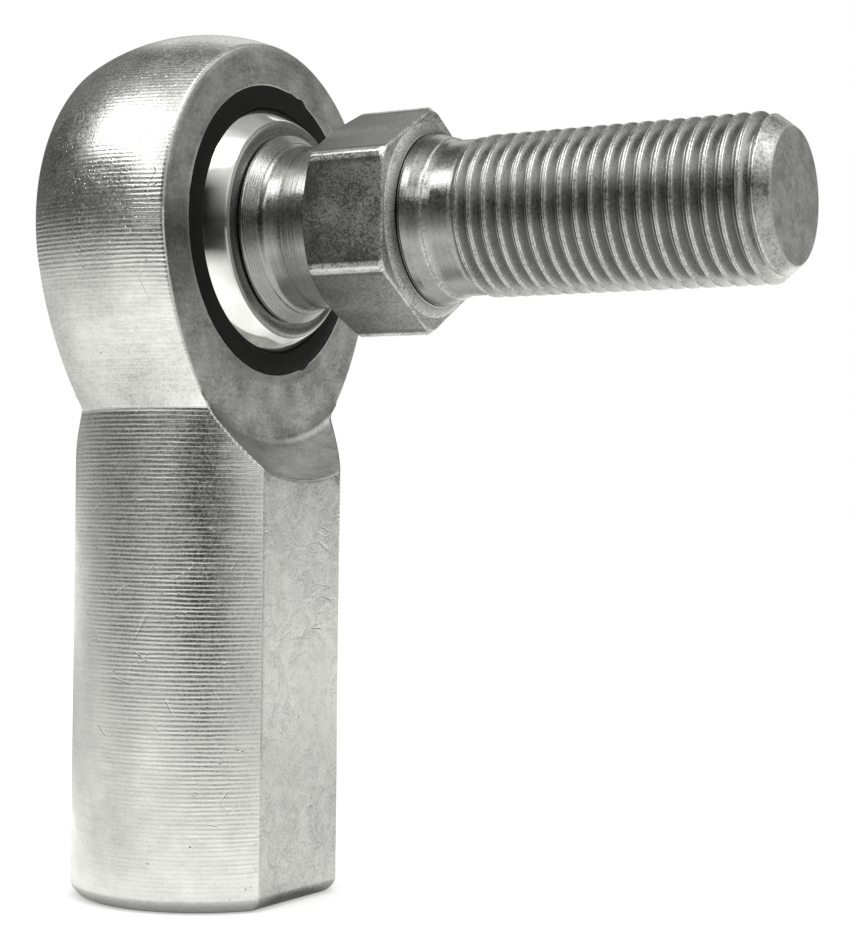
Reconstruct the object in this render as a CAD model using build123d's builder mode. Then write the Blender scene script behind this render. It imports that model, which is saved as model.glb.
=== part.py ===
from build123d import *
import math
import os

os.makedirs("parts", exist_ok=True)

# Female rod end bearing with a threaded ball stud, 1/2-20 size class.
# Millimetres. +Z runs up the shank towards the head, +X along the stud.
# The origin is the centre of the shank's end face, at the mouth of its thread.

# ---------------------------------------------------------------- dimensions
centre_h = 55.4          # shank end face to ball centre

# body
head_r = 16.66           # radius of the turned spherical head
head_w = 12.7            # width across the head's two spot faces
shank_r = 11.1125        # radius of the round shank
flats_w = 19.05          # width across the wrench flats
end_chamfer = 0.9        # chamfer round the shank end
neck_drop = 15.1         # ball centre down to where the full shank begins
neck_from_deg = 12.0     # the neck curve leaves the sphere this far below centre
spot_r = 17.6            # flat part of the spot-facing cut
spot_fillet = 1.2        # corner radius of the spot-facing cutter
thread_major_r = 6.35    # 1/2 inch nominal
thread_minor_r = 5.73    # tapped hole, crest radius
thread_depth = 27.0
mouth_r = 6.42           # countersink at the mouth
mouth_depth = 0.40
drill_point = 3.4        # cone at the bottom of the drilled hole

# race
race_r = 12.0            # bore in the head that the race fills
lock_r = 13.0            # locking groove that holds the race in the head
lock_half = 2.2
lock_run = 3.2
race_edge = 0.12         # edge break at the mouth of the race
clear = 0.03             # radial running clearance between pieces

# ball
ball_r = 11.9
ball_w = 15.875
bore_r = 4.78
sink_r = 6.0             # countersink the stud is staked into
ball_edge = 0.15

# stud
spigot_r = bore_r - clear
shoulder_r = 7.75
shoulder_edge = 0.15
neck_r = 6.60
hex_af = 15.875
hex_back = 14.2
hex_front = 21.5
boss_r = 7.70             # foot of the low cone on the hexagon's outer face
collar_r = 6.85
plain_r = 6.12           # unthreaded length, rolled-thread blank size
thread_start = 26.4
thread_end = 50.2
tip_x = 51.8
tip_r = 5.1

# ------------------------------------------------------------ reference frame
centre = Vector(0, 0, centre_h)
stud_axis = Axis((0, 0, centre_h), (1, 0, 0))
profile_plane = Plane(origin=(0, 0, centre_h), x_dir=(1, 0, 0), z_dir=(0, -1, 0))

# ------------------------------------------------------------------------ body
a = math.radians(neck_from_deg)
neck_top = (head_r * math.cos(a), centre_h - head_r * math.sin(a))
neck_low = (shank_r, centre_h - neck_drop)
b = math.radians(50)

with BuildPart() as rod_end_body:
    # Turned blank: round shank, curved neck and spherical head in one piece.
    with BuildSketch(Plane.XZ):
        with BuildLine():
            Polyline(
                (0, 0),
                (shank_r - end_chamfer, 0),
                (shank_r, end_chamfer),
                neck_low,
            )
            TangentArc(neck_top, neck_low, tangent=(-math.sin(a), -math.cos(a)))
            ThreePointArc(
                neck_top,
                (head_r * math.cos(b), centre_h + head_r * math.sin(b)),
                (0, centre_h + head_r),
            )
            Line((0, centre_h + head_r), (0, 0))
        make_face()
    revolve(axis=Axis.Z)

    # Spot faces each side of the head: flat floor, rounded corner, 45 degree wall.
    for side in (1, -1):
        with BuildSketch(profile_plane):
            with BuildLine():
                FilletPolyline(
                    (side * head_w / 2, 0),
                    (side * head_w / 2, spot_r),
                    (side * (head_w / 2 + 7), spot_r + 7),
                    radius=spot_fillet,
                )
                Polyline(
                    (side * (head_w / 2 + 7), spot_r + 7),
                    (side * 26, spot_r + 7),
                    (side * 26, 0),
                    (side * head_w / 2, 0),
                )
            make_face()
        revolve(axis=stud_axis, mode=Mode.SUBTRACT)

    # Wrench flats, milled from the shank end up into the spot-facing wall.
    flat_plane = Plane(origin=(0, 0, 0), x_dir=(1, 0, 0), z_dir=(0, 0, 1))
    with BuildSketch(flat_plane):
        with Locations((flats_w / 2 + 5, 0), (-flats_w / 2 - 5, 0)):
            Rectangle(10, 30)
    extrude(amount=centre_h - neck_drop - 0.2, mode=Mode.SUBTRACT)
    end_edges = (
        rod_end_body.edges()
        .filter_by(Axis.Y)
        .filter_by(lambda e: abs(e.center().Z) < 0.01)
    )
    chamfer(end_edges, length=end_chamfer * 0.75)

    # Bore through the head, with the groove that locks the race in.
    with BuildSketch(profile_plane):
        with BuildLine():
            Polyline(
                (-head_w / 2 - 1, 0),
                (-head_w / 2 - 1, race_r),
                (-lock_run, race_r),
                (-lock_half, lock_r),
                (lock_half, lock_r),
                (lock_run, race_r),
                (head_w / 2 + 1, race_r),
                (head_w / 2 + 1, 0),
                close=True,
            )
        make_face()
    revolve(axis=stud_axis, mode=Mode.SUBTRACT)

    # Tapped hole up the shank, plain at its crest radius.
    with BuildSketch(Plane.XZ):
        with BuildLine():
            Polyline(
                (0, -1),
                (mouth_r, -1),
                (mouth_r, 0),
                (thread_minor_r, mouth_depth),
                (thread_minor_r, thread_depth),
                (0, thread_depth + drill_point),
                close=True,
            )
        make_face()
    revolve(axis=Axis.Z, mode=Mode.SUBTRACT)

# ------------------------------------------------------------------------ race
inner_r = ball_r + clear
half = head_w / 2
race_mouth_r = math.sqrt(inner_r**2 - (half - race_edge) ** 2)

with BuildPart() as race:
    # Moulded ring: spherical inside, with a rib round it that fills the groove.
    with BuildSketch(profile_plane):
        with BuildLine():
            ThreePointArc(
                (-half + race_edge, race_mouth_r),
                (0, inner_r),
                (half - race_edge, race_mouth_r),
            )
            Polyline(
                (half - race_edge, race_mouth_r),
                (half, race_mouth_r + race_edge),
                (half, race_r - clear),
                (lock_run + clear * 0.4, race_r - clear),
                (lock_half - clear * 0.4, lock_r - clear),
                (-lock_half + clear * 0.4, lock_r - clear),
                (-lock_run - clear * 0.4, race_r - clear),
                (-half, race_r - clear),
                (-half, race_mouth_r + race_edge),
                (-half + race_edge, race_mouth_r),
            )
        make_face()
    revolve(axis=stud_axis)

# ------------------------------------------------------------------------ ball
half_ball = ball_w / 2
flat_r = math.sqrt(ball_r**2 - half_ball**2)
rim_x = math.sqrt(ball_r**2 - (flat_r + ball_edge) ** 2)

with BuildPart() as ball:
    # Sphere with two flats, a bore, and a countersink at the blind side.
    with BuildSketch(profile_plane):
        with BuildLine():
            ThreePointArc(
                (-rim_x, flat_r + ball_edge),
                (0, ball_r),
                (rim_x, flat_r + ball_edge),
            )
            Polyline(
                (rim_x, flat_r + ball_edge),
                (half_ball, flat_r - ball_edge),
                (half_ball, bore_r),
                (-half_ball + sink_r - bore_r, bore_r),
                (-half_ball, sink_r),
                (-half_ball, flat_r - ball_edge),
                (-rim_x, flat_r + ball_edge),
            )
        make_face()
    revolve(axis=stud_axis)

# ------------------------------------------------------------------------ stud
back = half_ball + clear
hex_corner_r = hex_af / math.sqrt(3)
chamfer_run = (hex_corner_r - hex_af / 2) * math.tan(math.radians(30))
stake = 0.5              # how far the staked end stands out behind the ball

with BuildPart() as stud:
    # Hexagon with corners up and down, chamfered at 30 degrees on the ball side
    # and only broken at its corners on the thread side.
    with BuildSketch(Plane(origin=(hex_back, 0, centre_h), x_dir=(0, 0, 1), z_dir=(1, 0, 0))):
        RegularPolygon(radius=hex_corner_r, side_count=6)
    extrude(amount=hex_front - hex_back)
    with BuildSketch(profile_plane):
        with BuildLine():
            Polyline(
                (hex_back, 0),
                (hex_back, hex_af / 2 - 0.1),
                (hex_back + chamfer_run + 0.1 * math.tan(math.radians(30)), hex_corner_r),
                (hex_front - 0.35, hex_corner_r),
                (hex_front, hex_corner_r - 0.5),
                (hex_front, 0),
                close=True,
            )
        make_face()
    revolve(axis=stud_axis, mode=Mode.INTERSECT)

    # Turned and rolled lengths: staked spigot, shoulder, neck, collar, thread, tip.
    with BuildSketch(profile_plane):
        with BuildLine():
            Polyline(
                (-half_ball - stake, 0),
                (-half_ball - stake, sink_r - 0.9),
                (-half_ball - stake * 0.55, sink_r - 0.35),
                (-half_ball - 0.02, sink_r - clear * 1.5),
                (-half_ball + sink_r - bore_r + 0.01, spigot_r),
                (back, spigot_r),
                (back, shoulder_r - shoulder_edge),
                (back + shoulder_edge, shoulder_r),
                (back + 0.45, shoulder_r),
                (back + 0.75, shoulder_r - 0.22),
                (back + 1.35, neck_r + 0.45),
            )
            ThreePointArc(
                (back + 1.35, neck_r + 0.45),
                (back + 1.72, neck_r + 0.13),
                (back + 2.35, neck_r),
            )
            Polyline(
                (back + 2.35, neck_r),
                (hex_back + 1, neck_r),
                (hex_front - 1, neck_r),
                (hex_front - 1, boss_r),
                (hex_front, boss_r),
                (hex_front + 0.55, collar_r + 0.15),
                (hex_front + 0.62, collar_r),
                (hex_front + 1.1, collar_r - 0.08),
                (hex_front + 2.3, plain_r + 0.30),
                (hex_front + 2.5, plain_r + 0.16),
                (hex_front + 3.3, plain_r),
                (thread_start - 0.3, plain_r),
                (thread_start, thread_major_r),
                (thread_end, thread_major_r),
                (tip_x - 0.15, tip_r + 0.1),
                (tip_x, tip_r),
                (tip_x, 0),
                (-half_ball - stake, 0),
            )
        make_face()
    revolve(axis=stud_axis)

# ---------------------------------------------------------------------- export
for piece, name in (
    (rod_end_body, "rod_end_body"),
    (race, "race"),
    (ball, "ball"),
    (stud, "stud"),
):
    piece.part.label = name

export_step(rod_end_body.part, "parts/rod_end_body.step")
export_step(race.part, "parts/race.step")
export_step(ball.part, "parts/ball.step")
export_step(stud.part, "parts/stud.step")
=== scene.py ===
import math

import bmesh
import bpy
import numpy as np
from mathutils import Matrix, Vector


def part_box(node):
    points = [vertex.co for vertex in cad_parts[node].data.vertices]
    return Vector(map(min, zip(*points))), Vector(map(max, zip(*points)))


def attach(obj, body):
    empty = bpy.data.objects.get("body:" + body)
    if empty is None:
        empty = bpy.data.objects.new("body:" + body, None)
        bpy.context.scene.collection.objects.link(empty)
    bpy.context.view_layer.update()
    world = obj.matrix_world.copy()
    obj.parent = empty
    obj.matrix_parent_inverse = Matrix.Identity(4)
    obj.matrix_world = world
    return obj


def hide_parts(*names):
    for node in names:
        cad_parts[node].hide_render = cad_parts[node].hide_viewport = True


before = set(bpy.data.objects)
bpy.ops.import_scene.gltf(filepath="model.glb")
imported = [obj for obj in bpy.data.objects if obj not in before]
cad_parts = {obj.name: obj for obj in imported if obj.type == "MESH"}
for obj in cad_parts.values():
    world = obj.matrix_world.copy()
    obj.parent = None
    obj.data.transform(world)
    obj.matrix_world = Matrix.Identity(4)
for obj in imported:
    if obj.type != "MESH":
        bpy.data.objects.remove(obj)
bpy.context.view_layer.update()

MM = 0.001
ball_lo, ball_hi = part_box("ball")
C = (ball_lo.z + ball_hi.z) / 2 / MM          # ball centre height, mm
stud_lo, stud_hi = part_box("stud")
TIP = stud_hi.x / MM
HEX_R = (stud_hi.z - stud_lo.z) / 2 / MM
body_lo, body_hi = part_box("rod_end_body")
R = min(body_hi.z / MM - C, body_hi.y / MM) - 0.002   # head radius
F = body_hi.x / MM                             # half the width across flats
race_lo, race_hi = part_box("race")
H = race_hi.x / MM                             # half the width of the head
BALL_W = ball_hi.x / MM
BALL_R = (ball_hi.z - ball_lo.z) / 2 / MM
P = 1.27                                       # thread pitch
MAJOR = 6.35


# ------------------------------------------------------------------ mesh tools
class Builder:
    """Collects vertices (mm, ball-centred) and faces with a material index."""

    def __init__(self):
        self.v, self.f, self.m, self.n = [], [], [], 0

    def add(self, pts, faces, mat):
        pts = np.asarray(pts, float).reshape(-1, 3)
        faces = np.asarray(faces, int)
        self.v.append(pts)
        self.f.append(faces + self.n)
        self.m.append(np.full(len(faces), mat) if np.isscalar(mat) else np.asarray(mat))
        self.n += len(pts)

    def grid(self, pts, mat, closed=False, flip=False):
        """pts is (rows, columns, 3)."""
        pts = np.asarray(pts, float)
        a, b = pts.shape[:2]
        i = np.arange(a - 1)[:, None]
        j = np.arange(b if closed else b - 1)[None, :]
        j2 = (j + 1) % b
        q = np.stack([i * b + j, i * b + j2, (i + 1) * b + j2, (i + 1) * b + j], -1).reshape(-1, 4)
        if flip:
            q = q[:, ::-1]
        if not np.isscalar(mat):
            mat = np.repeat(np.asarray(mat), b if closed else b - 1)
        self.add(pts, q, mat)

    def mirrored(self, sx, sy):
        out = Builder()
        for v, f, m in zip(self.v, self.f, self.m):
            out.v.append(v * np.array([sx, sy, 1.0]))
            out.f.append(f[:, ::-1] if sx * sy < 0 else f)
            out.m.append(m)
        out.n = self.n
        return out

    def take(self, other):
        for v, f, m in zip(other.v, other.f, other.m):
            self.v.append(v)
            self.f.append(f + self.n)
            self.m.append(m)
        self.n += other.n

    def mesh(self, name, weld=1e-4):
        v = np.concatenate(self.v)
        f = np.concatenate(self.f)
        m = np.concatenate(self.m)
        # Weld on a grid of 'weld' mm, then drop what has collapsed.
        key = np.round(v / weld).astype(np.int64)
        _, first, inverse = np.unique(key, axis=0, return_index=True, return_inverse=True)
        inverse = inverse.reshape(-1)
        f = inverse[f]
        v = v[first]
        faces, mats = [], []
        for q, k in zip(f.tolist(), m.tolist()):
            out = [q[0]]
            for x in q[1:]:
                if x != out[-1]:
                    out.append(x)
            if len(out) > 1 and out[0] == out[-1]:
                out.pop()
            if len(out) >= 3 and len(set(out)) == len(out):
                faces.append(out)
                mats.append(k)
        v = (v + np.array([0, 0, C])) * MM
        me = bpy.data.meshes.new(name)
        me.from_pydata(v.tolist(), [], faces)
        me.polygons.foreach_set("material_index", mats)
        bm = bmesh.new()
        bm.from_mesh(me)
        bmesh.ops.remove_doubles(bm, verts=bm.verts, dist=2e-7)
        bmesh.ops.dissolve_degenerate(bm, edges=bm.edges, dist=1e-8)
        bmesh.ops.recalc_face_normals(bm, faces=bm.faces)
        bm.to_mesh(me)
        bm.free()
        me.polygons.foreach_set("use_smooth", [True] * len(me.polygons))
        me.update()
        return me


def rounded(path, radii, seg=3):
    """Rounds a path's corners. path is (K, M, D): K points, M versions side by side."""
    path = np.asarray(path, float)
    out = [path[0]]
    for k in range(1, len(path) - 1):
        r = radii[k]
        if r <= 0:
            out.append(path[k])
            continue
        v = path[k]
        d1, d2 = path[k - 1] - v, path[k + 1] - v
        l1 = np.maximum(np.linalg.norm(d1, axis=-1, keepdims=True), 1e-9)
        l2 = np.maximum(np.linalg.norm(d2, axis=-1, keepdims=True), 1e-9)
        d1, d2 = d1 / l1, d2 / l2
        cosine = np.clip((d1 * d2).sum(-1, keepdims=True), -1, 1)
        half = np.arccos(cosine) / 2
        length = np.minimum(r / np.maximum(np.tan(half), 1e-3), 0.45 * np.minimum(l1, l2))
        length = np.minimum(length, 3 * r)
        w = np.sin(half)
        a, b = v + d1 * length, v + d2 * length
        for i in range(seg + 1):
            t = i / seg
            c0, c1, c2 = (1 - t) ** 2, 2 * w * t * (1 - t), t * t
            out.append((c0 * a + c1 * v + c2 * b) / (c0 + c1 + c2))
    out.append(path[-1])
    return np.stack(out)


def piece(name, me, body, node, materials):
    ob = bpy.data.objects.new(name, me)
    bpy.context.scene.collection.objects.link(ob)
    for m in materials:
        me.materials.append(m)
    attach(ob, body)
    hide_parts(node)
    return ob


def weighted(ob):
    w = ob.modifiers.new("weighted", "WEIGHTED_NORMAL")
    w.mode = "FACE_AREA"
    w.weight = 50
    w.keep_sharp = False


def apply_modifiers(ob):
    dg = bpy.context.evaluated_depsgraph_get()
    me = bpy.data.meshes.new_from_object(ob.evaluated_get(dg), preserve_all_data_layers=True, depsgraph=dg)
    old = ob.data
    ob.modifiers.clear()
    ob.data = me
    me.name = old.name + "_mesh"
    bpy.data.meshes.remove(old)


def smooth_step(x, a, b):
    t = np.clip((x - a) / (b - a), 0, 1)
    return t * t * (3 - 2 * t)


def thread_profile(u, crest, root, tip_flat, seam=0.0, soft=0.03):
    """Radius at distance u (mm) from a crest's middle, on a 60 degree thread."""
    u = np.abs((u + P / 2) % P - P / 2)
    slope = 1.7320508 * (1 if crest > root else -1)
    flank = crest - (u - tip_flat / 2) * slope
    if crest > root:
        r = np.minimum(crest, flank)
        r = -soft * np.logaddexp(-crest / soft, -flank / soft)
        s2 = soft * 1.6
        r = s2 * np.logaddexp(r / s2, root / s2)
    else:
        r = soft * np.logaddexp(crest / soft, flank / soft)
        s2 = soft * 1.6
        r = -s2 * np.logaddexp(-r / s2, -root / s2)
    return r - seam * np.exp(-((u / 0.055) ** 2))


def helix(theta, s0, s1, us, radius, phase=0.0):
    """Grid along a right-hand helix, clamped to s0..s1. Returns s and r as (rows, columns).
    Rows step through us in each pitch. Each column is one angle."""
    theta = np.asarray(theta, float)
    us = np.asarray(us, float)
    first = math.floor((s0 - phase) / P) - 3
    last = math.ceil((s1 - phase) / P) + 2
    rows = np.concatenate([phase + k * P + us for k in range(first, last)])
    lead = P * theta[None, :] / (2 * math.pi)
    s = np.clip(rows[:, None] + lead, s0, s1)
    return s, radius(s, s - phase - lead)


# ------------------------------------------------------------------------ body
ZB = -C                       # shank end, ball-centred
RS = 11.1125
CH = 0.85
A0 = math.radians(12)
RA, ZA = R * math.cos(A0), -R * math.sin(A0)
ZN = -15.1
dx, dz = RS - RA, ZN - ZA
nx, nz = -math.cos(A0), math.sin(A0)           # inward normal at the top of the neck
RN = (dx * dx + dz * dz) / (2 * (dx * nx + dz * nz))
NRC, NZC = RA + RN * nx, ZA + RN * nz
SPOT, FIL = 17.6, 1.2
RHO_A = SPOT - FIL * math.tan(math.radians(22.5))
RHO_B = RHO_A + FIL * math.sin(math.radians(45))
BORE = 12.0
LOCK = 13.0


def r_turn(z):
    z = np.asarray(z, float)
    ball_part = np.sqrt(np.maximum(R * R - z * z, 0))
    neck = NRC + np.sqrt(np.maximum(RN * RN - (z - NZC) ** 2, 0))
    return np.where(z >= ZA, ball_part, np.where(z >= ZN, neck, RS))


def wall_x(rho):
    if rho <= RHO_A:
        return H
    if rho <= RHO_B:
        return H + FIL - math.sqrt(FIL * FIL - (rho - RHO_A) ** 2)
    return H + rho - SPOT


def x_on_wall(z):
    """Where the turned surface at height z meets the spot-facing wall."""
    lo, hi = H, F
    r = float(r_turn(z))
    for _ in range(60):
        x = (lo + hi) / 2
        rho = math.sqrt(max(r * r - x * x, 0) + z * z)
        if x < wall_x(rho):
            lo = x
        else:
            hi = x
    return (lo + hi) / 2


def bisect(f, a, b):
    fa = f(a)
    for _ in range(60):
        m = (a + b) / 2
        if (f(m) > 0) == (fa > 0):
            a = m
        else:
            b = m
    return (a + b) / 2


Z_T1 = bisect(lambda z: math.sqrt(float(r_turn(z)) ** 2 - H * H + z * z) - RHO_A, -10.0, ZN)
RHO_Q2 = SPOT + F - H
Y_Q2 = math.sqrt(RS * RS - F * F)
Z_Q2 = -math.sqrt(RHO_Q2**2 - Y_Q2**2)

NT, NF, NW1, NW2 = 22, 5, 3, 4
u = np.linspace(0, 1, NT + 1)


def across(x_end, r):
    beta = math.asin(min(1.0, x_end / r))
    return x_end * np.sin(u * beta) / math.sin(beta)


turned, outer = [], []        # per row: points from the middle plane to the boundary, and the boundary
for phi in np.linspace(0, math.acos(ZA / R), 52):
    x = across(H, R)
    rad = np.sqrt(R * R - x * x)
    turned.append(np.stack([x, rad * math.sin(phi), rad * math.cos(phi)], -1))
row0 = turned[-1]
b0, b1 = math.asin(H / R), math.asin(H / float(r_turn(Z_T1)))
for t in np.linspace(0, 1, 15)[1:]:
    beta = b0 + (b1 - b0) * t
    x = H * np.sin(u * beta) / math.sin(beta)
    z = row0[:, 2] + (Z_T1 - row0[:, 2]) * t
    turned.append(np.stack([x, np.sqrt(r_turn(z) ** 2 - x * x), z], -1))
for z in list(np.linspace(Z_T1, ZN, 5)[1:]) + list(np.linspace(ZN, Z_Q2, 13)[1:]):
    xe = x_on_wall(z)
    x = across(xe, float(r_turn(z)))
    turned.append(np.stack([x, np.sqrt(float(r_turn(z)) ** 2 - x * x), np.full_like(x, z)], -1))
turned[-1][-1] = (F, Y_Q2, Z_Q2)
turned = np.array(turned)
NFLAT = 12
flat_top = [(F, y, -math.sqrt(RHO_Q2**2 - y * y)) for y in np.linspace(Y_Q2, 0, NFLAT + 1)]
edge = np.concatenate([turned[:, -1], np.array(flat_top[1:])])

quarter = Builder()
quarter.grid(turned, 0, flip=True)
walls, faces_, bores = [], [], []
for x, y, z in edge:
    rho, phi = math.hypot(y, z), math.atan2(y, z)
    on = rho > RHO_A + 1e-6
    ring = []
    for k in range(NW1 + 1):                      # 45 degree wall
        q = rho + (min(rho, RHO_B) - rho) * k / NW1
        ring.append((x if k == 0 or not on else wall_x(q), q))
    top = min(rho, RHO_B)
    if on:                                        # rounded root
        ang = math.asin(min(1.0, (top - RHO_A) / FIL))
        for k in range(1, NW2 + 1):
            a = ang * (1 - k / NW2)
            ring.append((H + FIL - FIL * math.cos(a), RHO_A + FIL * math.sin(a)))
    else:
        ring += [(x, rho)] * NW2
    start = min(rho, RHO_A)
    walls.append([(a, q * math.sin(phi), q * math.cos(phi)) for a, q in ring])
    flat = [start + (BORE - start) * k / NF for k in range(NF + 1)]
    faces_.append([(H, q * math.sin(phi), q * math.cos(phi)) for q in flat])
    hole = [(H, BORE), (3.2, BORE), (2.2, LOCK), (0, LOCK)]
    bores.append([(a, q * math.sin(phi), q * math.cos(phi)) for a, q in hole])
quarter.grid(walls, 1, flip=True)
quarter.grid(faces_, 1, flip=True)
quarter.grid(bores, 3, flip=True)

# Shank below the wall: the round part, then the wrench flat.
z_chamfer = ZB + CH
levels = np.linspace(0, 1, 26)
shank = []
for t in levels:
    z = Z_Q2 + (z_chamfer - Z_Q2) * t
    x = across(F, RS)
    shank.append(np.stack([x, np.sqrt(np.maximum(RS * RS - x * x, 0)), np.full_like(x, z)], -1))
shank = np.array(shank)
shank[:, -1, 0], shank[:, -1, 1] = F, Y_Q2
quarter.grid(shank, 0, flip=True)
flats = np.array([[(F, y, z + (z_chamfer - z) * t) for _, y, z in flat_top] for t in levels])
quarter.grid(flats, 2, flip=True)
# Chamfer and end face.
rim_x = F - CH
rim_y = math.sqrt((RS - CH) ** 2 - rim_x**2)
x = across(rim_x, RS - CH)
low = np.concatenate([
    np.stack([x, np.sqrt(np.maximum((RS - CH) ** 2 - x * x, 0)), np.full_like(x, ZB)], -1),
    np.array([(rim_x, y * rim_y / Y_Q2, ZB) for _, y, _ in flat_top[1:]]),
])
high = np.concatenate([shank[-1], flats[-1][1:]])
foot = Builder()
foot.grid([high, low], 0, flip=True)
foot.m[0][NT:] = 2
quarter.take(foot)
MOUTH = 6.42
psi = np.arctan2(low[:, 1], low[:, 0])
mouth = np.stack([MOUTH * np.cos(psi), MOUTH * np.sin(psi), np.full_like(psi, ZB)], -1)
quarter.grid([low + (mouth - low) * t for t in (0, 0.35, 0.7, 1)], 4, flip=True)

body = Builder()
for sx, sy in ((1, 1), (-1, 1), (-1, -1), (1, -1)):
    body.take(quarter.mirrored(sx, sy))

# Tapped hole: helical thread, full circle, on the same angles as the mouth.
full = np.sort(np.unique(np.round(np.concatenate([psi, math.pi - psi, math.pi + psi, 2 * math.pi - psi]) % (2 * math.pi), 9)))
full = full[full < 2 * math.pi - 1e-6]
MINOR_IN = 5.73
DEPTH = 27.0


def hole_radius(s, v):
    z = s - ZB                                     # height above the shank end
    th = thread_profile(v, MINOR_IN, MAJOR + 0.02, 0.30)
    fade = 1 - smooth_step(z, DEPTH - 3.2, DEPTH - 1.6)
    th = MINOR_IN + (th - MINOR_IN) * fade
    return np.maximum(th, MOUTH - z / 0.40 * (MOUTH - MINOR_IN))


us_in = np.array([-0.5, -0.42, -0.36, -0.26, -0.17, -0.12, 0, 0.12, 0.17, 0.26, 0.36, 0.42]) * P
ang = np.concatenate([full, [full[0] + 2 * math.pi]])
s, r = helix(ang, ZB, ZB + DEPTH, us_in, hole_radius, ZB + 0.3)
# The last column is the first one again, a pitch further up, and welds to it.
pts = np.stack([r * np.cos(ang), r * np.sin(ang), s], -1)
body.grid(pts, 3)
cone = np.array([[(q * math.cos(a), q * math.sin(a), ZB + DEPTH + 3.4 * (1 - q / MINOR_IN)) for a in full] for q in (MINOR_IN, 3.0, 0.0)])
body.grid(cone, 3, closed=True)
body_me = body.mesh("rod_end_body_shell")

# Mark the edges that get an edge break: every real corner outside the tapped hole.
bm = bmesh.new()
bm.from_mesh(body_me)
weight = bm.edges.layers.float.new("bevel_weight_edge")
for e in bm.edges:
    if len(e.link_faces) != 2:
        continue
    p = (e.verts[0].co + e.verts[1].co) / 2 / MM
    in_hole = math.hypot(p.x, p.y) < MOUTH + 0.02 and p.z < DEPTH + 5
    rho = math.hypot(p.y, p.z - C)
    if in_hole or (rho < BORE + 1.2 and abs(p.x) < H - 0.02):
        continue
    angle = e.calc_face_angle(0.0)
    if angle > math.radians(21):
        at_bore = abs(rho - BORE) < 0.05
        along_foot = abs(e.verts[0].co.z - e.verts[1].co.z) < 2e-5 and p.z < CH + 0.02
        e[weight] = 0.16 if at_bore else 0.85 if along_foot else 0.46
bm.to_mesh(body_me)
open_edges = sum(len(e.link_faces) != 2 for e in bm.edges)
bm.free()
print("body verts", len(body_me.vertices), "open or odd edges", open_edges)

# ------------------------------------------------------------------- lathe work
corners = [30 + 60 * k for k in range(6)]
offs = [0.5, 1.0, 1.6, 2.4, 3.4, 4.8, 6.5, 8.5, 11, 14, 17, 20, 23.3, 26.7]
TH = np.radians(np.sort(np.array([c + o for c in corners for o in [0, 30] + offs + [-x for x in offs]]) % 360))
TH = np.unique(np.round(TH, 9))
N = len(TH)


def spin(builder, path, mats, theta=TH, flip=False):
    """path (K, M or 1, 2) of (x, r), turned about X. mats: one per step or one for all."""
    path = np.asarray(path, float)
    if path.ndim == 2:
        path = path[:, None, :]
    path = np.broadcast_to(path, (len(path), len(theta), 2))
    pts = np.stack([path[..., 0], path[..., 1] * np.cos(theta), path[..., 1] * np.sin(theta)], -1)
    builder.grid(pts, mats, closed=True, flip=flip)


def lathe_path(points, seg=3, versions=1):
    """points: (x, r, radius). Returns the rounded path as (K, versions, 2)."""
    p = np.array([[[a[0], a[1]]] * versions for a in points], float)
    return rounded(p, [a[2] for a in points], seg)


# ------------------------------------------------------------------------ stud
HW = BALL_W
BACK = HW + 0.03
NECK = 6.6
AF2 = 15.875 / 2
HEX_BACK, HEX_FRONT = 14.2, 21.5
PLAIN = 6.12
delta = np.abs((TH + math.radians(30)) % math.radians(60) - math.radians(30))
beta = math.radians(30) - delta
RC = 0.38
dc = (AF2 - RC) / math.cos(math.radians(30))
rh = AF2 / np.cos(delta)
near = beta < math.radians(30) - math.atan((AF2 - RC) * math.tan(math.radians(30)) / AF2)
inside = np.maximum(RC * RC - (dc * np.sin(beta)) ** 2, 0)
rh = np.where(near, dc * np.cos(beta) + np.sqrt(inside), rh)

stud = Builder()
front_end = lathe_path(
    [(-HW - 0.5, 0.0, 0), (-HW - 0.5, 5.1, 0.25), (-HW - 0.275, 5.65, 0.15), (-HW - 0.02, 5.955, 0.05), (-HW + 1.23, 4.75, 0.1),
     (BACK, 4.75, 0.05), (BACK, 7.60, 0), (BACK + 0.15, 7.75, 0.06), (BACK + 0.45, 7.75, 0.08)], 2)
rings = []
n_rings = 6
for i in range(n_rings * 4 + 1):
    t = i / (n_rings * 4)
    x = BACK + 0.47 + 0.88 * t
    rr = 7.73 - 0.68 * t + 0.02 * math.sin(t * n_rings * 2 * math.pi)
    rings.append([[x, rr]])
neck = lathe_path(
    [(BACK + 1.36, 7.05, 0), (BACK + 1.75, 6.76, 1.6), (BACK + 2.9, 6.61, 3.0), (HEX_BACK - 1.6, NECK, 0), (HEX_BACK - 0.4, NECK, 0), (HEX_BACK - 0.001, NECK, 0)], 5)
first = np.concatenate([front_end, np.array(rings), neck])
spin(stud, first, 0)

cone30 = math.tan(math.radians(30))
xc = HEX_BACK + (rh - (AF2 - 0.1)) * cone30
xf = HEX_FRONT - 0.12 - 0.35 * np.clip((rh - 8.665) / 0.5, 0, 1)
rf = np.minimum(rh - 0.14, 8.70)
hexagon = np.stack([
    np.stack([np.full(N, HEX_BACK - 0.001), np.full(N, NECK)], -1),
    np.stack([np.full(N, HEX_BACK), np.full(N, NECK + 0.02)], -1),
    np.stack([np.full(N, HEX_BACK), np.full(N, AF2 - 0.1)], -1),
    np.stack([xc, rh], -1),
    np.stack([xf, rh], -1),
    np.stack([np.full(N, HEX_FRONT), rf], -1),
    np.stack([np.full(N, HEX_FRONT), np.full(N, 7.70)], -1),
    np.stack([np.full(N, HEX_FRONT + 0.54), np.full(N, 7.00)], -1),
])
hexagon = rounded(hexagon, [0, 0, 0.10, 0.16, 0.16, 0.14, 0.25, 0], 3)
spin(stud, hexagon, 1)
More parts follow.
